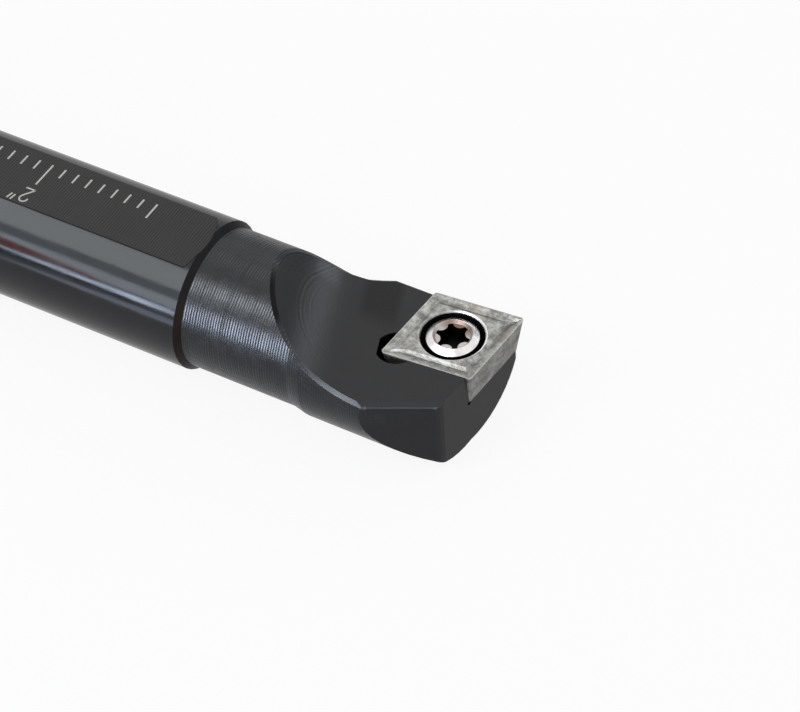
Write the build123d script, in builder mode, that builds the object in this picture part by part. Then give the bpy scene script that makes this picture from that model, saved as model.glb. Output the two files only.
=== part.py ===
from build123d import *
from math import cos, radians, sin, tan
import os

# An indexable boring bar, in millimetres. The bar's axis is X: the rear end is at X = 0 and the
# cutting tip at X = overall_length. +Y is the side that cuts and +Z is the face with the flat.

# Overall sizes
overall_length = 203.2
tip_reach = 9.9
rake_height = 1.7

# Shank
shank_diameter = 15.875
rear_chamfer = 1.0
flat_depth = 0.94
flat_cutter_diameter = 12.7
flat_cutter_centre_y = -0.5
flat_end_to_tip = 29.75

# Neck and head, with lengths measured back from the cutting tip
neck_diameter = 14.8
neck_to_tip = 29.95
shoulder_run = 0.65
head_diameter = 15.5
head_to_tip = 17.2
head_step_run = 1.6
swell_offset = 1.9
swell_diameter = 15.6
swell_start_diameter = 10.6
swell_to_tip = 12.8
swell_angle = 27.0
side_reach = 8.95

# Faces milled on the head
gullet_radius = 12.7
gullet_turn = 20.0
gullet_to_tip = 10.3
near_side_angle = 27.4
near_corner_y = -4.09
front_set_back = 0.5
front_corner_radius = 1.0
edge_break = 0.33

# Insert: a rhombus with an 80 degree cutting corner and sides that slope inward underneath
inscribed_circle = 9.525
insert_thickness = 3.97
cutting_corner = 80.0
clearance_angle = 7.0
lead_angle = 5.0
nose_radius = 0.4
edge_land = 0.25
groove_depth = 0.2
groove_side_inset = 0.95
groove_nose_inset = 0.85
groove_wall_run = 0.38
plateau_nose_width = 1.0
hole_mouth_diameter = 6.7
hole_diameter = 4.4

# Insert pocket
pocket_clearance = 0.02
relief_diameter = 4.25
relief_inset = 1.74
relief_depth = 0.3
undercut_radius = 0.3

# Screw
screw_diameter = 4.0
screw_cone_angle = 60.0
head_rim_diameter = 5.4
head_rim_drop = 0.33
head_rise = 0.15
recess_mouth_diameter = 4.0
recess_depth = 0.3
screw_reach = 8.3
screw_tip_chamfer = 0.5
lobe_count = 6
lobe_tip_radius = 1.72
flute_radius = 0.72
flute_centre_radius = 1.95
lobe_angle = 6.3
socket_depth = 1.8
thread_clearance = 0.05

# Worked out from the sizes above
shank_radius = shank_diameter / 2
neck_radius = neck_diameter / 2
head_radius = head_diameter / 2
flat_height = shank_radius - flat_depth
neck_start = overall_length - neck_to_tip
head_start = overall_length - head_to_tip
swell_full = overall_length - swell_to_tip
cut_reach = shank_diameter

# The insert's centre lies back from the nose along the line that halves the cutting corner.
half_corner = cutting_corner / 2
bisector_angle = 90 - lead_angle - half_corner
bisector = Vector(cos(radians(bisector_angle)), sin(radians(bisector_angle)), 0)
nose_centre = Vector(overall_length - nose_radius, tip_reach - nose_radius, rake_height)
centre_to_nose = (inscribed_circle / 2 - nose_radius) / sin(radians(half_corner))
insert_centre = nose_centre - bisector * centre_to_nose
insert_top = Plane(origin=insert_centre, x_dir=bisector, z_dir=(0, 0, 1))


def rhombus_corners(inradius):
    """The corners of the insert's outline when its sides lie inradius from its centre."""
    long_half = inradius / sin(radians(half_corner))
    short_half = inradius / cos(radians(half_corner))
    return [(long_half, 0), (0, short_half), (-long_half, 0), (0, -short_half)]


def plateau_corners(side_inset, nose_inset):
    """An outline inside the insert's, with a nose that runs out toward each cutting corner."""
    inradius = inscribed_circle / 2 - side_inset
    tip = inscribed_circle / 2 / sin(radians(half_corner)) - nose_inset
    nose_half = plateau_nose_width / 2
    root = (inradius - nose_half * cos(radians(half_corner))) / sin(radians(half_corner))
    side = inradius / cos(radians(half_corner))
    quarter = [(tip, 0), (root, nose_half), (0, side), (-root, nose_half)]
    return quarter + [(-x, -y) for x, y in quarter]


def inradius_at(depth):
    """How far the insert's sloping sides lie from its centre line at a depth below its top."""
    return inscribed_circle / 2 - depth * tan(radians(clearance_angle))


# Bar body: turned shank, shoulder, neck and head
with BuildPart() as bar_body:
    with BuildSketch(Plane.XZ):
        with BuildLine():
            Polyline(
                (0, 0),
                (0, shank_radius - rear_chamfer),
                (rear_chamfer, shank_radius),
                (neck_start, shank_radius),
                (neck_start + shoulder_run, neck_radius),
                (head_start, neck_radius),
                (head_start + head_step_run, head_radius),
                (overall_length, head_radius),
                (overall_length, 0),
                close=True,
            )
        make_face()
    revolve(axis=Axis.X)

    # The head swells toward the cutting side: a second turning centre, run in by a cone
    swell_radius = swell_diameter / 2
    swell_start_radius = swell_start_diameter / 2
    swell_run = (swell_radius - swell_start_radius) / tan(radians(swell_angle))
    with BuildSketch(Plane.XZ.offset(-swell_offset)):
        with BuildLine():
            Polyline(
                (swell_full - swell_run, 0),
                (swell_full - swell_run, swell_start_radius),
                (swell_full, swell_radius),
                (overall_length, swell_radius),
                (overall_length, 0),
                close=True,
            )
        make_face()
    revolve(axis=Axis((0, swell_offset, 0), (1, 0, 0)))

    # The swell's far side is milled straight
    with BuildSketch(Plane.XZ.offset(-side_reach)):
        with Locations((overall_length, 0)):
            Rectangle(2 * head_to_tip, 2 * cut_reach)
    extrude(amount=-cut_reach, mode=Mode.SUBTRACT)

    # The flat stops in the round end that its milling cutter leaves
    flat_end = overall_length - flat_end_to_tip
    cutter_stop = flat_end - flat_cutter_diameter / 2
    with BuildSketch(Plane.XY.offset(flat_height)):
        with Locations((cutter_stop / 2, flat_cutter_centre_y)):
            Rectangle(cutter_stop, flat_cutter_diameter)
        with Locations((cutter_stop, flat_cutter_centre_y)):
            Circle(flat_cutter_diameter / 2)
    extrude(amount=cut_reach, mode=Mode.SUBTRACT)

    # Gullet: a level floor that sweeps up in an arc, cut slantwise across the head
    turn = radians(gullet_turn)
    gullet_plane = Plane(
        origin=(overall_length, 0, 0), x_dir=(cos(turn), sin(turn), 0), z_dir=(sin(turn), -cos(turn), 0)
    )
    with BuildSketch(gullet_plane):
        with BuildLine():
            floor_line = Line((cut_reach, rake_height), (-gullet_to_tip, rake_height))
            sweep_up = CenterArc(
                (-gullet_to_tip, rake_height + gullet_radius), gullet_radius, 270, -90
            )
            Polyline(sweep_up @ 1, (cut_reach, rake_height + gullet_radius), floor_line @ 0)
        make_face()
    extrude(amount=cut_reach, both=True, mode=Mode.SUBTRACT)

    # Near side of the head, up to the corner where it meets the front face
    front_point = nose_centre + Vector(cos(radians(lead_angle)), -sin(radians(lead_angle)), 0) * (
        nose_radius - front_set_back
    )

    def front_x(y):
        """Where the front face lies at y: it runs level with the insert's front cutting edge."""
        return front_point.X + (y - front_point.Y) * tan(radians(lead_angle))

    near_corner = (front_x(near_corner_y), near_corner_y)
    near_slope = tan(radians(near_side_angle))
    with BuildSketch(Plane.XY.offset(-cut_reach)):
        with BuildLine():
            Polyline(
                (near_corner[0] + cut_reach, near_corner_y + cut_reach * near_slope),
                (near_corner[0] - cut_reach, near_corner_y - cut_reach * near_slope),
                (near_corner[0] + cut_reach, near_corner_y - cut_reach * near_slope),
                close=True,
            )
        make_face()
    extrude(amount=2 * cut_reach, mode=Mode.SUBTRACT)

    # Break the sharp edges: the gullet's rim on the neck and the head, then beside the floor
    def gullet_rims():
        """The curved edges where the gullet meets the turned surfaces."""
        sweeps = faces().filter_by(lambda face: face.radius == gullet_radius)
        return sweeps.edges().filter_by(GeomType.BSPLINE)

    def floor_edges():
        """The edges of the level floor that the insert's top lies flush with."""
        levels = faces().filter_by(Plane.XY).group_by(Axis.Z)
        return min(levels, key=lambda level: abs(level[0].center().Z - rake_height)).edges()

    chamfer(floor_edges().sort_by(Axis.Y)[0], edge_break)
    chamfer(gullet_rims().sort_by(Axis.Y)[:2], edge_break)
    chamfer(gullet_rims().sort_by(SortBy.LENGTH)[-1], edge_break)
    far_edges = floor_edges().sort_by(Axis.Y)[-2:]
    chamfer([gullet_rims().sort_by(Axis.Y)[-1], *far_edges], edge_break)

    # The front face runs out sharp, with a rounded corner between it and the near side
    with BuildSketch(Plane.XY.offset(-cut_reach)):
        with BuildLine():
            Polyline(
                (front_x(cut_reach), cut_reach),
                (front_x(-cut_reach), -cut_reach),
                (overall_length + cut_reach, -cut_reach),
                (overall_length + cut_reach, cut_reach),
                close=True,
            )
        make_face()
    extrude(amount=2 * cut_reach, mode=Mode.SUBTRACT)
    corner_edge = edges().filter_by(Axis.Z).sort_by_distance((*near_corner, 0))[0]
    fillet(corner_edge, front_corner_radius)

    # Insert pocket: the insert's own rhombus grown away from its clamped corner, so that two of
    # its walls back the insert and the other two are open
    pocket_inradius = inscribed_circle
    wall_inradius = inscribed_circle / 2 + pocket_clearance
    pocket_shift = (pocket_inradius - wall_inradius) / sin(radians(half_corner))
    with BuildSketch(insert_top):
        with Locations((pocket_shift, 0)):
            Polygon(*rhombus_corners(pocket_inradius), align=None)
    extrude(amount=-insert_thickness, taper=clearance_angle, mode=Mode.SUBTRACT)

    # Relief hole, so that the insert's clamped corner touches nothing
    relief_offset = relief_inset - wall_inradius / sin(radians(half_corner))
    with BuildSketch(insert_top):
        with Locations((relief_offset, 0)):
            Circle(relief_diameter / 2)
    extrude(amount=-insert_thickness - relief_depth, mode=Mode.SUBTRACT)

    # A small round undercut along the foot of both pocket walls
    foot_inradius = inradius_at(insert_thickness) + pocket_clearance
    foot_corner = insert_top.from_local_coords(
        (-foot_inradius / sin(radians(half_corner)), 0, -insert_thickness)
    )
    for side in (-1, 1):
        wall_direction = bisector.rotate(Axis.Z, side * half_corner)
        with BuildSketch(Plane(origin=foot_corner, z_dir=wall_direction)):
            Circle(undercut_radius)
        extrude(amount=cut_reach, mode=Mode.SUBTRACT)

    # Tapped hole, right through to the underside
    with BuildSketch(insert_top.offset(-insert_thickness)):
        Circle(screw_diameter / 2 + thread_clearance)
    extrude(amount=-cut_reach, mode=Mode.SUBTRACT)

# Cutting insert
with BuildPart() as cutting_insert:
    with BuildSketch(insert_top):
        Polygon(*rhombus_corners(inscribed_circle / 2), align=None)
    extrude(amount=-insert_thickness, taper=clearance_angle)
    fillet(edges().filter_by(Plane.XY, reverse=True), nose_radius)

    # Chipbreaker: a narrow land, then a groove that climbs to the plateau round the hole
    groove_top = plateau_corners(edge_land, edge_land / sin(radians(half_corner)))
    groove_bottom = plateau_corners(groove_side_inset, groove_nose_inset)
    plateau = plateau_corners(groove_side_inset + groove_wall_run, groove_nose_inset + groove_wall_run)
    with BuildSketch(insert_top):
        Polygon(*groove_top, align=None)
    with BuildSketch(insert_top.offset(-groove_depth)):
        Polygon(*groove_bottom, align=None)
    loft(ruled=True, mode=Mode.SUBTRACT)
    with BuildSketch(insert_top.offset(-groove_depth)):
        Polygon(*groove_bottom, align=None)
    with BuildSketch(insert_top):
        Polygon(*plateau, align=None)
    loft(ruled=True)

    # Countersunk hole for the screw
    mouth_radius = hole_mouth_diameter / 2
    seat_drop = (mouth_radius - hole_diameter / 2) / tan(radians(screw_cone_angle / 2))
    with BuildSketch(insert_top):
        Circle(hole_diameter / 2)
    extrude(amount=-insert_thickness, mode=Mode.SUBTRACT)
    with BuildSketch(insert_top):
        Circle(mouth_radius)
    with BuildSketch(insert_top.offset(-seat_drop)):
        Circle(hole_diameter / 2)
    loft(ruled=True, mode=Mode.SUBTRACT)

# Insert screw: its cone fills the insert's countersink and its shank stands in the tapped hole
screw_radius = screw_diameter / 2
rim_radius = head_rim_diameter / 2
recess_radius = recess_mouth_diameter / 2
cone_slope = tan(radians(screw_cone_angle / 2))
cone_top = -(mouth_radius - rim_radius) / cone_slope
cone_foot = -(mouth_radius - screw_radius) / cone_slope
screw_section = Plane(origin=insert_centre, x_dir=bisector, z_dir=bisector.rotate(Axis.Z, -90))
with BuildPart() as insert_screw:
    with BuildSketch(screw_section):
        with BuildLine():
            Polyline(
                (0, head_rise - recess_depth),
                (lobe_tip_radius, head_rise - recess_depth),
                (recess_radius, head_rise),
                (rim_radius, -head_rim_drop),
                (rim_radius, cone_top),
                (screw_radius, cone_foot),
                (screw_radius, screw_tip_chamfer - screw_reach),
                (screw_radius - screw_tip_chamfer, -screw_reach),
                (0, -screw_reach),
                close=True,
            )
        make_face()
    revolve(axis=Axis(insert_centre, (0, 0, 1)))

    # Six-lobe socket: a circle through the lobe tips, less six round flutes between them
    flute_angle = lobe_angle + 180 / lobe_count - bisector_angle
    with BuildSketch(insert_top.offset(head_rise - recess_depth)):
        Circle(lobe_tip_radius)
        with PolarLocations(flute_centre_radius, lobe_count, start_angle=flute_angle):
            Circle(flute_radius, mode=Mode.SUBTRACT)
    extrude(amount=-socket_depth, mode=Mode.SUBTRACT)

os.makedirs("parts", exist_ok=True)

bar_body.part.label = "bar_body"
cutting_insert.part.label = "cutting_insert"
insert_screw.part.label = "insert_screw"
export_step(bar_body.part, "parts/bar_body.step")
export_step(cutting_insert.part, "parts/cutting_insert.step")
export_step(insert_screw.part, "parts/insert_screw.step")
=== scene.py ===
import math

import bpy
from mathutils import Matrix, Vector


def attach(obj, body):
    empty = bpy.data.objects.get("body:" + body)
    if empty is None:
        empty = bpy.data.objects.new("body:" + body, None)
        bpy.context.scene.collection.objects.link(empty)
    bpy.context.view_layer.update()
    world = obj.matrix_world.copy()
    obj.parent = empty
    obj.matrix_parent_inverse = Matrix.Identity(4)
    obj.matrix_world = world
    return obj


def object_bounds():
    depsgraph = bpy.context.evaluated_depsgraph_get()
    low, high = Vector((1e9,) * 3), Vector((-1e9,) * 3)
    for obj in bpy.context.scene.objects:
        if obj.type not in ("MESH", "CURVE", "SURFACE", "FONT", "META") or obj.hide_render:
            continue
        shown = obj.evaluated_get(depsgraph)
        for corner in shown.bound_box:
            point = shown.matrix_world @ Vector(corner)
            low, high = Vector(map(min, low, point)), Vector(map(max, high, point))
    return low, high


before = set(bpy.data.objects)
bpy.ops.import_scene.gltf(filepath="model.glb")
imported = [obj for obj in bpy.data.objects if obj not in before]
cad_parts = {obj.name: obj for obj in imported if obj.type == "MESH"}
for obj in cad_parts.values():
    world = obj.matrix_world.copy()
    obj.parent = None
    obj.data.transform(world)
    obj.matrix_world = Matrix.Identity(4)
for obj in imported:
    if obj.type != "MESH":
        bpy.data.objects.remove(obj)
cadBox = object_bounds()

scene = bpy.context.scene
mm = 0.001  # sizes below are in millimetres, Blender works in metres


class Wire:
    # a socket in a node tree, so that shader maths reads as plain Python
    def __init__(self, tree, socket=None):
        self.tree = tree
        self.socket = socket

    def node(self, kind, settings=None, values=None, out=0):
        # adds any node: its settings come first, then its sockets by name or number
        made = self.tree.nodes.new("ShaderNode" + kind)
        for name, setting in (settings or {}).items():
            setattr(made, name, setting)
        for name, value in (values or {}).items():
            if isinstance(value, Wire):
                self.tree.links.new(value.socket, made.inputs[name])
            elif made.inputs[name].type == "RGBA":
                made.inputs[name].default_value = (*value, 1)
            else:
                made.inputs[name].default_value = value
        return Wire(self.tree, made.outputs[out])

    def math(self, operation, *terms):
        return self.node("Math", {"operation": operation}, dict(enumerate(terms)))

    def __add__(self, other):
        return self.math("ADD", self, other)

    def __sub__(self, other):
        return self.math("SUBTRACT", self, other)

    def __rsub__(self, other):
        return self.math("SUBTRACT", other, self)

    def __mul__(self, other):
        return self.math("MULTIPLY", self, other)

    def __truediv__(self, other):
        return self.math("DIVIDE", self, other)

    def __pow__(self, other):
        return self.math("POWER", self, other)

    def __abs__(self):
        return self.math("ABSOLUTE", self)

    __radd__ = __add__
    __rmul__ = __mul__

    def above(self, low, high):  # 0 below low, 1 above high
        return self.node("MapRange", {"interpolation_type": "SMOOTHSTEP"},
                         {"Value": self, "From Min": low, "From Max": high})

    def below(self, low, high):  # 1 below low, 0 above high
        return 1 - self.above(low, high)

    def band(self, low, high, soft):  # 1 between low and high, with soft ends
        return self.above(low - soft, low) * self.below(high, high + soft)

    def pick(self, first, second):  # self is a mask: first colour at 0, second at 1
        return self.node("Mix", {"data_type": "RGBA"}, {0: self, 6: first, 7: second}, 2)

    def tint(self, colour):  # self is a value that multiplies one colour
        return self.node("VectorMath", {"operation": "SCALE"}, {0: colour, "Scale": self})


class Finish:
    # one material: its place and normal on the object, in millimetres, and its shader
    def __init__(self, name, **constants):
        self.material = bpy.data.materials.new(name)
        self.material.use_nodes = True
        self.tree = self.material.node_tree
        self.root = Wire(self.tree)
        self.shaders = [self.tree.nodes["Principled BSDF"]]
        self.keep(self.shaders[0], constants)
        metres = self.root.node("TexCoord", out="Object")
        self.place = self.root.node("VectorMath", {"operation": "SCALE"}, {0: metres, "Scale": 1 / mm})
        self.x, self.y, self.z = self.split(self.place)
        self.nx, self.ny, self.nz = self.split(self.root.node("TexCoord", out="Normal"))

    def keep(self, shader, constants):
        for socket, value in constants.items():
            shader.inputs[socket.replace("_", " ")].default_value = value

    def split(self, vector):
        return [self.root.node("SeparateXYZ", None, {0: vector}, axis) for axis in range(3)]

    def noise(self, scale, detail=3, stretch=(1, 1, 1), rough=0.5):
        stretched = self.root.node("VectorMath", {"operation": "MULTIPLY"}, {0: self.place, 1: stretch})
        return self.root.node("TexNoise", None, {"Vector": stretched, "Scale": scale, "Detail": detail,
                                                 "Roughness": rough})

    def wave(self, value, pitch):  # -1 to 1, once in each pitch
        return self.root.math("SINE", value * (2 * math.pi / pitch))

    def ridges(self, value, pitch):  # 0 to 1, round hollows with sharp crests between them
        return 1 - abs(self.root.math("SINE", value * (math.pi / pitch)))

    def hollows(self, value, pitch):  # the slope of those hollows, from -1 to 1 across each
        return self.root.math("FRACT", value / pitch) * 2 - 1

    def distance(self, first, second):
        return (first * first + second * second) ** 0.5

    def dullWhere(self, mask, **constants):
        # a second shader of the same colour, without the gloss, wherever mask is 1
        dull = self.tree.nodes.new("ShaderNodeBsdfPrincipled")
        self.keep(dull, constants)
        self.shaders.append(dull)
        glossy, flat = [Wire(self.tree, shader.outputs[0]) for shader in self.shaders]
        mixed = self.root.node("MixShader", None, {0: mask, 1: glossy, 2: flat})
        self.tree.links.new(mixed.socket, self.tree.nodes["Material Output"].inputs["Surface"])

    def feed(self, **wires):
        for socket, wire in wires.items():
            for shader in self.shaders:
                self.tree.links.new(wire.socket, shader.inputs[socket.replace("_", " ")])

    def bump(self, height, slope=None):  # height in millimetres, and a slope along the bar
        values = {"Height": height, "Strength": 1, "Distance": mm}
        if slope:
            lean = self.root.node("CombineXYZ", None, {0: slope})
            lean = self.root.node("VectorTransform", {"vector_type": "VECTOR", "convert_from": "OBJECT",
                                                      "convert_to": "WORLD"}, {0: lean})
            normal = self.root.node("NewGeometry", out="Normal")
            leaning = self.root.node("VectorMath", {"operation": "ADD"}, {0: normal, 1: lean})
            values["Normal"] = self.root.node("VectorMath", {"operation": "NORMALIZE"}, {0: leaning})
        self.feed(Normal=self.root.node("Bump", None, values))


def dress(node, finish):
    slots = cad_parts[node].data.materials
    slots.clear()
    slots.append(finish.material)


barSet = {
    "shankSkin": (0.0095, 0.0099, 0.0112),
    "flatSkin": (0.016, 0.0152, 0.0145),
    "ringSkin": (0.018, 0.0105, 0.009),
    "darkRingSkin": (0.009, 0.009, 0.010),
    "neckSkin": (0.013, 0.0145, 0.018),
    "milledSkin": (0.0078, 0.0080, 0.0092),
    "frontLitSkin": (0.013, 0.0122, 0.0112),
    "bevelHighlightSkin": (0.025, 0.028, 0.034),
    "highlightAndWearSkin": (0.16, 0.19, 0.24),
    "sheenSkin": (0.050, 0.058, 0.066),
    "paintedShadeSkin": (0.0015, 0.0015, 0.0015),
    "shankRough": 0.09,
    "flatRough": 0.42,
    "ringRough": 0.33,
    "neckRough": 0.18,
    "milledRough": 0.33,
    "ringStart": 173.25,
    "ringEnd": 173.9,
    "ringTop": (3.5, 5.5),  # heights over which its brown gives out
    "outerRadius": (6.5, 6.6),
    "neckRadius": 7.4,
    "swell": 0.35,
    "swellRun": (186, 187.6),
    "flatHeight": 6.9975,
    "flatEdge": -3.74,
    "flatLineWidth": (0.04, 0.1),
    "flatCornerStart": (172.4, 172.5),
    "flatCutter": (167.1, -0.5, 6.35),
    "turnPitch": 0.29,
    "turnSlope": 0.35,
    "flatPitch": 0.305,
    "flatDepth": 0.004,
    "witnessRing": 178.4,
    "witnessHeight": 0.03,
    "millCentre": (191.5, 3.2),
    "millPitch": 0.42,
    "millDepth": 0.006,
    "bevelStart": (191, 192),
    "chamferWidth": (0.26, 0.34),
    "edgeWidth": (0.05, 0.12),
    "darkRimEnd": (183.5, 184.5),
    "reliefHole": (193.97, 0.67, 2.2),
    "pocketFloor": (1.4, 1.6),
    "nickGlints": ((195.02, -7.45), (201.1, -4.37)),
    "nickGlintSize": (0.1, 0.25),
    "tip": 203.2,
    "sweepTurn": 20,  # degrees between the foot of the upward sweep and the bar's square
    "sweepFoot": 10.3,  # from the tip to that foot
}
steel = Finish("blackOxideSteel", IOR=1.46)
radius = steel.distance(steel.y, steel.z)
facing = (steel.ny * steel.y + steel.nz * steel.z) / radius
isOuter = radius.above(*barSet["outerRadius"])
pastRing = steel.x.above(barSet["ringEnd"] - 0.03, barSet["ringEnd"])
isFlat = steel.nz.above(0.97, 0.99) * (1 - pastRing) \
    * steel.z.above(barSet["flatHeight"] - 0.03, barSet["flatHeight"] - 0.01)
isRing = steel.nx.band(0.55, 0.7, 0.03) * isOuter \
    * steel.x.band(barSet["ringStart"] - 0.02, barSet["ringEnd"] + 0.02, 0.02)
isNeck = pastRing * facing.above(0.86, 0.92) * isOuter
isMilled = pastRing * (1 - isNeck) * (1 - isRing)
isFront = isMilled * steel.nx.above(0.9, 0.97)
isBesideFront = isMilled * (1 - isFront)
isSide = isBesideFront * steel.ny.below(-0.9, -0.8)
isBevel = isMilled * steel.nz.band(0.6, 0.8, 0.05) * steel.ny.below(-0.45, -0.35) \
    * steel.x.above(*barSet["bevelStart"])

# the chamfer that runs along the head's rim: dark above the neck; further on, its near side carries painted
# highlights
fromRim = steel.x.above(*barSet["swellRun"]) * barSet["swell"] + barSet["neckRadius"] - radius
onChamfer = fromRim.below(*barSet["chamferWidth"])
onNearRim = isBesideFront * steel.y.below(-2, -1) * steel.z.above(1.0, 1.3)
isRim = onNearRim * onChamfer
rimEdge = onNearRim * fromRim.below(*barSet["edgeWidth"])
darkRim = isMilled * onChamfer * steel.x.below(*barSet["darkRimEnd"])

holeX, holeY, holeRadius = barSet["reliefHole"]
fromRelief = steel.distance(steel.x - holeX, steel.y - holeY)
isHole = isMilled * fromRelief.below(holeRadius, holeRadius + 0.02) * steel.z.below(*barSet["pocketFloor"])

# the line where the flat's cutter left its edge: straight along the bar, then round the cutter's corner; it is
# painted dark and dull, a painted shade line
cutterX, cutterY, cutterRadius = barSet["flatCutter"]
fromCutter = abs(steel.distance(steel.x - cutterX, steel.y - cutterY) - cutterRadius)
straight = steel.x.below(*barSet["flatCornerStart"]) \
    * abs(steel.y - barSet["flatEdge"]).below(*barSet["flatLineWidth"])
rounded = steel.x.above(*barSet["flatCornerStart"]) * fromCutter.below(*barSet["flatLineWidth"]) \
    * steel.y.above(-3.85, -3.8)
flatLine = (straight + rounded) * steel.z.above(6.5, 6.6) * steel.y.below(2, 3) * (1 - isRing)

patches = steel.noise(0.35, 4)
streaks = steel.noise(1.2, 3, (0.08, 1, 1))
grain = steel.noise(9, 3)
speckle = steel.noise(14, 2)

# turning marks round the neck: hollows with sharp crests, no two quite alike
wander = steel.noise(0.9, 2, (1, 0.05, 0.05))
eachTurn = steel.noise(3.4, 2, (1, 0.02, 0.02))
feedPath = steel.x + wander * 0.3
turnHollowShade = steel.ridges(feedPath, barSet["turnPitch"])
chatter = steel.noise(1.6, 3, (0.6, 1, 1)).above(0.3, 0.7)
onHead = steel.x.above(186, 188)
turnSlope = steel.hollows(feedPath, barSet["turnPitch"]) * (eachTurn.above(0.25, 0.75) * 0.6 + 0.6) \
    * (1 - onHead * 0.5) * barSet["turnSlope"]
witness = steel.x.band(barSet["witnessRing"] - 0.03, barSet["witnessRing"] + 0.03, 0.06)

# the cutter's marks: across the flat, and rings on the milled faces of the head
flatWander = steel.noise(0.5, 2)
flatLines = steel.wave(steel.x + flatWander * 0.25, barSet["flatPitch"]) * steel.noise(0.8, 2).above(0.2, 0.6)
millX, millY = barSet["millCentre"]
fromMill = steel.distance(steel.x - millX, steel.y - millY)
eachPass = steel.root.node("TexNoise", {"noise_dimensions": "1D"}, {"W": fromMill, "Scale": 0.9, "Detail": 4})
millLines = steel.wave(fromMill + steel.noise(0.4, 2) * 0.35, barSet["millPitch"]) * eachPass.above(0.35, 0.75) \
    + steel.noise(1.9, 3, (1, 1, 0.3)) * 0.8
millShare = steel.z.above(2.2, 4.5) * 0.75 + 0.25
# a painted sheen: a lighter, bluish patch high on the far side of the gullet
sheenPatch = isBesideFront * steel.z.band(3.1, 3.9, 0.5) * steel.y.above(3.5, 5.2)
sweepTurn = math.radians(barSet["sweepTurn"])
upSweep = (steel.x - barSet["tip"]) * math.cos(sweepTurn) + steel.y * math.sin(sweepTurn) + barSet["sweepFoot"]
sweepFoot = isMilled * upSweep.band(-2.0, 0.6, 1.2) * steel.y.above(1.5, 4.5) * steel.nz.above(0.9, 0.95)

# the skin, from the shank to the smallest marks, with painted highlights, a painted sheen and painted shade among
# them
skin = (patches * 0.7 + 0.65).tint(barSet["shankSkin"])
flatTone = grain * 0.5 + patches * 0.5 + flatLines * 0.8 + 0.45
# the hollows of the turning marks are painted darker than their crests: painted shade
neckTone = patches * 0.8 + turnHollowShade * 1.1 * eachTurn + 0.25
milledTone = grain * 0.5 + patches * 0.7 + millLines * millShare * 0.35 + 0.4
# the front face is painted lighter and warmer than the other milled faces: painted light
frontLitTone = grain * 0.6 + patches * 0.6 + 0.4
# the near bevel is painted lighter and bluish: a painted highlight
bevelHighlightTone = grain * 0.8 + 0.6
ringTone = patches * 1.2 + 0.3
for mask, tone, colour in ((isFlat, flatTone, "flatSkin"), (isNeck, neckTone, "neckSkin"),
                           (isMilled, milledTone, "milledSkin"), (isFront, frontLitTone, "frontLitSkin"),
                           (isBevel, bevelHighlightTone, "bevelHighlightSkin"), (isRing, ringTone, "darkRingSkin"),
                           (isRing * steel.z.below(*barSet["ringTop"]), ringTone, "ringSkin")):
    skin = mask.pick(skin, tone.tint(barSet[colour]))
# painted highlights: broken bright bluish spots on the near chamfer and along the near rim's edge
chamferHighlight = isRim * steel.x.above(183.5, 186.5) * (speckle * 0.6 + grain * 0.6).above(0.5, 0.72) * 0.12
rimEdgeHighlight = rimEdge * steel.x.above(185.5, 188.5) * (grain * 0.9 + speckle * 0.6).above(0.65, 0.95) * 0.4
# the painted sheen is brighter along the mill rings
sheenLines = sheenPatch * (millLines.above(-0.6, 1.4) * 0.7 + 0.3)
marks = [(chamferHighlight, "highlightAndWearSkin"), (rimEdgeHighlight, "highlightAndWearSkin"), (sheenLines, "sheenSkin")]
# small worn nicks at the near rim's corners, painted bright: wear with a painted highlight on it
for nickX, nickY in barSet["nickGlints"]:
    nickGlint = steel.distance(steel.x - nickX, steel.y - nickY).below(*barSet["nickGlintSize"])
    marks.append((nickGlint * isMilled * steel.z.above(1.2, 1.3) * 0.3, "highlightAndWearSkin"))
# the relief hole and the flat's edge line are painted near black: painted shade
marks += [(isHole, "paintedShadeSkin"), (flatLine * 0.8, "paintedShadeSkin")]
for mask, colour in marks:
    skin = mask.pick(skin, barSet[colour])

rough = barSet["shankRough"] + (streaks - 0.35) * 0.14 + (patches - 0.4) * 0.1
for mask, level in ((isFlat, "flatRough"), (isRing, "ringRough"), (isNeck, "neckRough"), (isMilled, "milledRough")):
    rough = rough * (1 - mask) + mask * barSet[level]
rough = rough + (grain - 0.5) * 0.1 + isNeck * (1 - chatter) * 0.12

height = isNeck * witness * barSet["witnessHeight"] + isFlat * flatLines * barSet["flatDepth"]
height = height + isBesideFront * millLines * millShare * barSet["millDepth"]
height = height + grain * 0.0012 + streaks * 0.012 * (1 - pastRing)
dullness = isRing * 0.8 + darkRim * 0.8 + isHole + flatLine * 0.7 + isFlat * 0.12 + sweepFoot * 0.3 \
    + isMilled * 0.12 + isSide * 0.12 + isFront * 0.35
steel.dullWhere(steel.root.math("MINIMUM", dullness, 1), IOR=1.46, Specular_IOR_Level=0.05)
steel.feed(Base_Color=skin, Roughness=rough)
steel.bump(height, isNeck * turnSlope)
dress("bar_body", steel)
print("bar body dressed")

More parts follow.
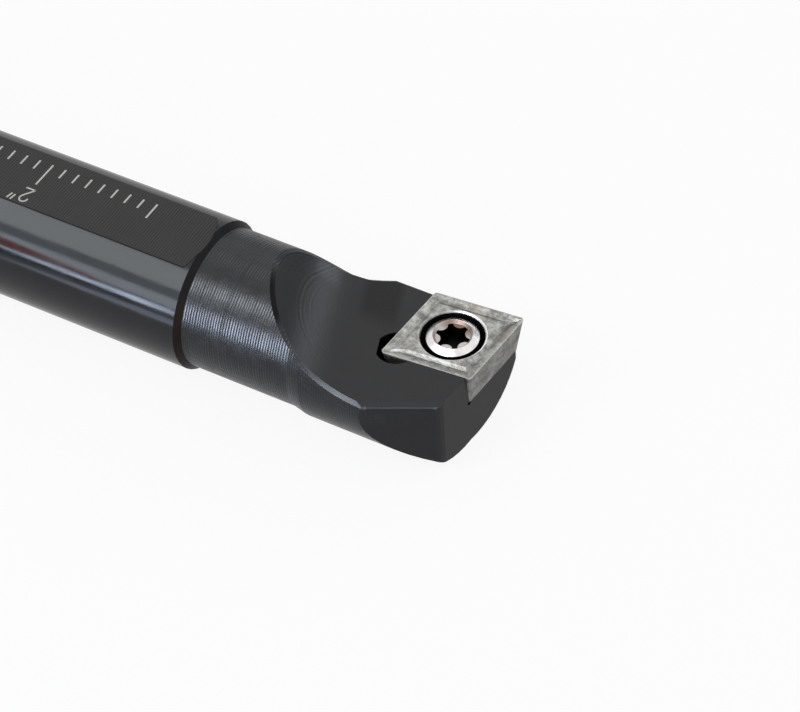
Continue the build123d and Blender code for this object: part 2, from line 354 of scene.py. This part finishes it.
insertSet = {
    "centre": (198.0, 4.70),
    "inradius": 4.7625,
    "halfCorner": 40,
    "top": 1.7,
    "flankTop": (1.55, 1.65),
    "flankShade": 0.78,
    "edgeWidth": (0.05, 0.16),
    "holeMouth": 3.35,
    "pale": (0.50, 0.49, 0.455),
    "dark": (0.20, 0.197, 0.178),
    "edge": (0.56, 0.55, 0.52),
    "rim": (0.92, 0.90, 0.88),
    "warm": (0.40, 0.31, 0.25),
    "gap": (0.003, 0.003, 0.003),
    "rough": 0.45,
}
carbide = Finish("groundCarbide", Metallic=0.85, IOR=1.6)
offX = carbide.x - insertSet["centre"][0]
offY = carbide.y - insertSet["centre"][1]
longWay = abs(offX + offY) * math.sqrt(0.5)
shortWay = abs(offX - offY) * math.sqrt(0.5)
halfCorner = math.radians(insertSet["halfCorner"])
inset = insertSet["inradius"] - longWay * math.sin(halfCorner) - shortWay * math.cos(halfCorner)
fromHole = carbide.distance(offX, offY)
isTop = carbide.z.above(insertSet["top"] - 0.25, insertSet["top"] - 0.2)
isEdge = isTop * inset.below(*insertSet["edgeWidth"])
mouth = insertSet["holeMouth"]
inHole = fromHole.below(mouth - 0.14, mouth - 0.08)
isMouth = isTop * fromHole.band(mouth - 0.08, mouth + 0.06, 0.04)
lit = ((offX * 0.75 + offY * 0.66) / fromHole).above(0.1, 0.8)  # the side of the mouth that catches light
clouds = carbide.noise(0.75, 5, rough=0.7)
blotches = carbide.noise(2.1, 4, rough=0.6)
specks = carbide.noise(7, 3)
shade = (clouds - 0.5) * 2.6 + (blotches - 0.5) * 1.5 + (specks - 0.5) * 0.7 + 0.46
tone = shade.above(0, 1).pick(insertSet["dark"], insertSet["pale"])
tone = (carbide.noise(0.5, 2).above(0.52, 0.7) * 0.35).pick(tone, insertSet["warm"])
# painted shade: the flanks are painted darker than the top
flankShade = insertSet["flankShade"]
tone = (carbide.z.above(*insertSet["flankTop"]) * (1 - flankShade) + flankShade).tint(tone)
tone = (isEdge * 0.5).pick(tone, insertSet["edge"])
tone = (isMouth * (lit * 0.85 + 0.15)).pick(tone, insertSet["rim"])
# the inside of the countersink is painted near black: painted shade in the recess
tone = inHole.pick(tone, insertSet["gap"])
carbide.dullWhere(inHole, Specular_IOR_Level=0.02)
carbide.feed(Base_Color=tone, Roughness=insertSet["rough"] + (specks - 0.5) * 0.25 + (blotches - 0.5) * 0.3)
carbide.bump(clouds * 0.05 + blotches * 0.02 + specks * 0.004)
dress("cutting_insert", carbide)
print("insert dressed")

screwSet = {
    "recess": 2.0,
    "recessFloor": 1.55,
    "annulus": 2.62,
    "bright": (0.80, 0.77, 0.755),
    "brown": (0.22, 0.155, 0.122),
    "socket": (0.02, 0.018, 0.016),
    "dark": (0.004, 0.004, 0.004),
}
screw = Finish("screwSteel", Metallic=1.0)
reachX = screw.x - insertSet["centre"][0]
reachY = screw.y - insertSet["centre"][1]
fromAxis = screw.distance(reachX, reachY)
inRecess = fromAxis.below(screwSet["recess"] - 0.03, screwSet["recess"])
inSocket = inRecess * screw.z.below(screwSet["recessFloor"] - 0.06, screwSet["recessFloor"] - 0.02)
underHead = fromAxis.above(screwSet["annulus"], screwSet["annulus"] + 0.04)
farSide = (reachY / fromAxis).above(0.2, 0.95)
smudge = screw.noise(1.5, 4)
metal = (smudge * 0.5 + 0.75).tint(screwSet["bright"])
# painted shade: the far side of the head and its recess are painted brown and darker
metal = (farSide * 0.45).pick(metal, screwSet["brown"])
metal = (inRecess * (farSide * 0.5 + 0.5)).pick(metal, screwSet["brown"])
# painted shade: the socket and the underside of the head are painted near black
metal = inSocket.pick(metal, screwSet["socket"])
metal = underHead.pick(metal, screwSet["dark"])
screw.dullWhere(underHead, Specular_IOR_Level=0.02)
screw.feed(Base_Color=metal, Roughness=0.2 + smudge * 0.15 + inRecess * 0.15)
screw.bump(screw.wave(fromAxis, 0.12) * 0.0008 + smudge * 0.002)
dress("insert_screw", screw)
print("screw dressed")

scaleSet = {
    "inch": 25.4,
    "inchTwo": 152.73,  # the 2 inch mark
    "firstStep": -8,  # sixteenths before that mark
    "lastInch": 6,
    "farEnd": 2.60,
    "shortEnd": 1.27,
    "halfEnd": 0.46,
    "inchEnd": -0.56,
    "lineWidth": 0.21,
    "lift": 0.012,
    "paint": (0.52, 0.50, 0.46),
}
marking = Finish("scaleMarking", Roughness=0.55)
marking.feed(Base_Color=(marking.noise(4, 3) * 0.5 + 0.75).tint(scaleSet["paint"]))


def addMesh(name, corners, faces):
    mesh = bpy.data.meshes.new(name)
    mesh.from_pydata(corners, [], faces)
    piece = bpy.data.objects.new(name, mesh)
    scene.collection.objects.link(piece)
    return piece


def strip(points, width, verts, faces):
    # a flat ribbon along points, with square ends, lying just proud of the flat
    start = len(verts)
    for index, point in enumerate(points):
        before, after = points[max(index - 1, 0)], points[min(index + 1, len(points) - 1)]
        run = (Vector(after) - Vector(before)).normalized()
        side = Vector((-run.y, run.x)) * width / 2
        for sign in (1, -1):
            for level in (-scaleSet["lift"], scaleSet["lift"]):
                verts.append(((point[0] + sign * side.x) * mm, (point[1] + sign * side.y) * mm,
                              (barSet["flatHeight"] + level) * mm))
    for index in range(len(points) - 1):
        here = start + 4 * index
        there = here + 4
        faces += [(here + 1, here + 3, there + 3, there + 1), (here, there, there + 2, here + 2),
                  (here, here + 1, there + 1, there), (here + 2, there + 2, there + 3, here + 3)]
    end = start + 4 * (len(points) - 1)
    faces += [(start, start + 2, start + 3, start + 1), (end, end + 1, end + 3, end + 2)]


def markPiece(name, strokes, width):
    verts, faces = [], []
    for stroke in strokes:
        strip(stroke, width, verts, faces)
    piece = addMesh(name, verts, faces)
    piece.data.materials.append(marking.material)
    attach(piece, "root")


lines = []
for step in range(scaleSet["firstStep"], (scaleSet["lastInch"] - 2) * 16 + 1):
    if step % 16 == 0:
        nearEnd = scaleSet["inchEnd"]
    elif step % 8 == 0:
        nearEnd = scaleSet["halfEnd"]
    else:
        nearEnd = scaleSet["shortEnd"]
    at = scaleSet["inchTwo"] - step * scaleSet["inch"] / 16
    lines.append([(at, nearEnd), (at, scaleSet["farEnd"])])
markPiece("scaleLines", lines, scaleSet["lineWidth"])


def arc(centre, size, first, last, steps=8):
    angles = [math.radians(first + (last - first) * step / steps) for step in range(steps + 1)]
    return [(centre[0] + size[0] * math.cos(angle), centre[1] + size[1] * math.sin(angle)) for angle in angles]


# single-stroke figures, 1 wide and 2 high, as they are read
figures = {
    "2": [arc((0.43, 1.5), (0.41, 0.5), 190, -35) + [(0.0, 0.0)], [(0.0, 0.0), (1.0, 0.0)]],
    "3": [arc((0.48, 1.52), (0.46, 0.46), 150, -80), arc((0.48, 0.54), (0.52, 0.52), 85, -150)],
    "4": [[(0.75, 0.0), (0.75, 2.0), (0.0, 0.6), (1.0, 0.6)]],
    "5": [[(0.95, 2.0), (0.15, 2.0), (0.08, 1.1)], arc((0.46, 0.64), (0.54, 0.62), 130, -150)],
    "6": [arc((0.98, 0.7), (0.98, 1.3), 95, 180), arc((0.5, 0.56), (0.5, 0.54), 180, 540, 14)],
    "inch": [[(0.15, 2.25), (0.03, 1.42)], [(0.56, 2.2), (0.39, 1.37)]],
}
figureSet = {"width": 1.1, "height": 0.955, "gap": 1.5, "right": 0.51, "foot": -1.36, "stroke": 0.19}
strokes = []
for inch in range(2, scaleSet["lastInch"] + 1):
    rightEdge = scaleSet["inchTwo"] - (inch - 2) * scaleSet["inch"] + figureSet["right"]
    for column, figure in enumerate((str(inch), "inch")):
        for stroke in figures[figure]:
            strokes.append([(rightEdge - (column * figureSet["gap"] + px * figureSet["width"]),
                             figureSet["foot"] - py * figureSet["height"]) for px, py in stroke])
markPiece("scaleFigures", strokes, figureSet["stroke"])
print("scale marked")

studioSet = {
    "floorColour": (0.9, 0.9, 0.9, 1),
    "floorRough": 0.9,
    "floorReach": 1.6,
    "floorWhite": 0.9,  # share of the floor that shows as plain white
    "skyDiffuse": 0.62,
    "lampAim": (0.17, 0, 0),
    "lampDistance": 0.8,
}
floorLevel = cadBox[0][2]
reach = studioSet["floorReach"]
floor = addMesh("floor", [(x, y, floorLevel) for x, y in ((-reach, -reach), (reach, -reach), (reach, reach),
                                                         (-reach, reach))], [(0, 1, 2, 3)])
floorPaint = bpy.data.materials.new("floorPaint")
floorPaint.use_nodes = True
floor.data.materials.append(floorPaint)
ground = Wire(floorPaint.node_tree)
matt = floorPaint.node_tree.nodes["Principled BSDF"]
matt.inputs["Base Color"].default_value = studioSet["floorColour"]
matt.inputs["Roughness"].default_value = studioSet["floorRough"]


def seenDirectly(tree):  # 1 for camera, glossy and transmission rays, 0 for diffuse light
    rays = [tree.node("LightPath", out=name) for name in ("Is Camera Ray", "Is Glossy Ray", "Is Transmission Ray")]
    return tree.math("MINIMUM", rays[0] + rays[1] + rays[2], 1)


glow = ground.node("Emission", None, {"Color": (1, 1, 1), "Strength": 1})
mattWire = Wire(floorPaint.node_tree, matt.outputs[0])
blend = ground.node("MixShader", None, {0: seenDirectly(ground) * studioSet["floorWhite"], 1: mattWire, 2: glow})
floorPaint.node_tree.links.new(blend.socket, floorPaint.node_tree.nodes["Material Output"].inputs["Surface"])

world = bpy.data.worlds.new("studio")
scene.world = world
world.use_nodes = True
sky = Wire(world.node_tree)
background = world.node_tree.nodes["Background"]
background.inputs["Color"].default_value = (1, 1, 1, 1)
brightness = studioSet["skyDiffuse"] + seenDirectly(sky) * (1 - studioSet["skyDiffuse"])
world.node_tree.links.new(brightness.socket, background.inputs["Strength"])


def softbox(name, heading, size, colour, glow):
    # an area lamp that faces the bar; heading points from the bar to the lamp
    lamp = bpy.data.objects.new(name, bpy.data.lights.new(name, "AREA"))
    lamp.data.shape = "RECTANGLE"
    lamp.data.size, lamp.data.size_y = size
    lamp.data.color = colour
    lamp.data.energy = glow * math.pi * size[0] * size[1]
    away = Vector(heading).normalized()
    sideways = Vector((1, 0, 0)) - away * away.x
    sideways.normalize()
    up = away.cross(sideways)
    turned = Matrix((sideways, up, away)).transposed().to_4x4()
    spot = Vector(studioSet["lampAim"]) + away * studioSet["lampDistance"]
    lamp.matrix_world = Matrix.Translation(spot) @ turned
    scene.collection.objects.link(lamp)


softbox("keyLight", (-0.42, -0.53, 0.73), (0.42, 0.40), (0.86, 0.94, 1.0), 3.2)
softbox("lowLight", (-0.40, -0.88, 0.27), (0.40, 0.17), (0.82, 0.90, 1.0), 3.0)
softbox("backLight", (0.27, 0.82, 0.50), (0.20, 0.16), (0.80, 0.90, 1.0), 3.5)


def card(name, corners, colour, fade=None):
    # a card that only the gloss of the part shows; fade is where along the bar it sets in
    piece = addMesh(name, corners, [tuple(range(len(corners)))])
    piece.visible_camera = piece.visible_diffuse = piece.visible_shadow = False
    paint = bpy.data.materials.new(name)
    paint.use_nodes = True
    piece.data.materials.append(paint)
    root = Wire(paint.node_tree)
    lamp = root.node("Emission", None, {"Color": colour, "Strength": 1})
    if fade:
        across = root.node("SeparateXYZ", None, {0: root.node("TexCoord", out="Object")})
        clear = root.node("BsdfTransparent")
        lamp = root.node("MixShader", None, {0: across.above(*fade), 1: clear, 2: lamp})
    paint.node_tree.links.new(lamp.socket, paint.node_tree.nodes["Material Output"].inputs["Surface"])


def upright(y, outline):  # a card that stands across y, its outline in x and z
    return [(x, y, z) for x, z in outline]


def lying(z, left, right, front, back):
    return [(left, front, z), (right, front, z), (right, back, z), (left, back, z)]


def standing(y, left, right, low, high):
    return upright(y, [(left, low), (right, low), (right, high), (left, high)])


# under the shank's streak comes a dark line, and over it a warm band
card("darkCard", upright(-0.10, [(-0.4, -0.0078), (0.08, -0.0078), (0.125, -0.003), (0.125, 0.0035), (-0.4, 0.0047)]),
     (0.10, 0.22, 0.32))
card("warmCard", upright(-0.20, [(-0.4, 0.026), (0.02, 0.026), (0.062, 0.026), (0.054, 0.052), (0.02, 0.072),
                                 (-0.4, 0.12)]), (1.5, 0.5, 0.35))
card("streakCard", upright(-0.20, [(0.03, 0.010), (0.066, 0.007), (0.081, 0.007), (0.081, 0.028), (0.066, 0.026),
                                   (0.03, 0.018)]), (10.0, 11.5, 14.5), (0.02, 0.065))
# these two are out of the neck's plain mirror, so only the flanks of its turning marks show them
card("turnCard", standing(-0.20, 0.12, 0.20, 0.0, 0.09), (15.0, 17.5, 22.0))
card("upperCard", standing(-0.20, 0.08, 0.22, 0.21, 0.39), (11.0, 12.0, 13.0))
card("topCard", lying(0.30, 0.10, 0.22, 0.03, 0.13), (2.2, 2.3, 2.4))
card("frontCard", standing(-1.0, -1.2, 0.6, 0.12, 0.75), (1.35, 1.55, 1.7))
card("glowCard", lying(floorLevel + 0.0001, 0.09, 0.16, -0.085, -0.045), (2.2, 2.5, 3.1), (0.115, 0.135))
card("shadeCard", lying(floorLevel + 0.00005, -0.5, 0.4, -0.20, 0.012), (0.6, 0.6, 0.61))
card("tableCard", lying(floorLevel + 0.0001, -0.6, 0.5, 0.012, 0.60), (0.6, 0.6, 0.605))
card("backCard", standing(0.6, -0.8, 0.9, floorLevel, 0.30), (0.5, 0.52, 0.55))

cameraSet = {
    "place": (0.299047, -0.163317, 0.207880),
    "aim": (0.193927, 0.001240, 0.0),
    "roll": -3.85,
    "lens": 130.54,
    "clipStart": 0.01,
}
cameraData = bpy.data.cameras.new("camera")
camera = bpy.data.objects.new("camera", cameraData)
scene.collection.objects.link(camera)
scene.camera = camera
place = Vector(cameraSet["place"])
look = Vector(cameraSet["aim"]) - place
turn = look.to_track_quat("-Z", "Y").to_matrix() @ Matrix.Rotation(math.radians(cameraSet["roll"]), 3, "Z")
camera.matrix_world = Matrix.Translation(place) @ turn.to_4x4()
cameraData.lens = cameraSet["lens"]
cameraData.clip_start = cameraSet["clipStart"]
scene.view_settings.view_transform = "Standard"
print("studio set")
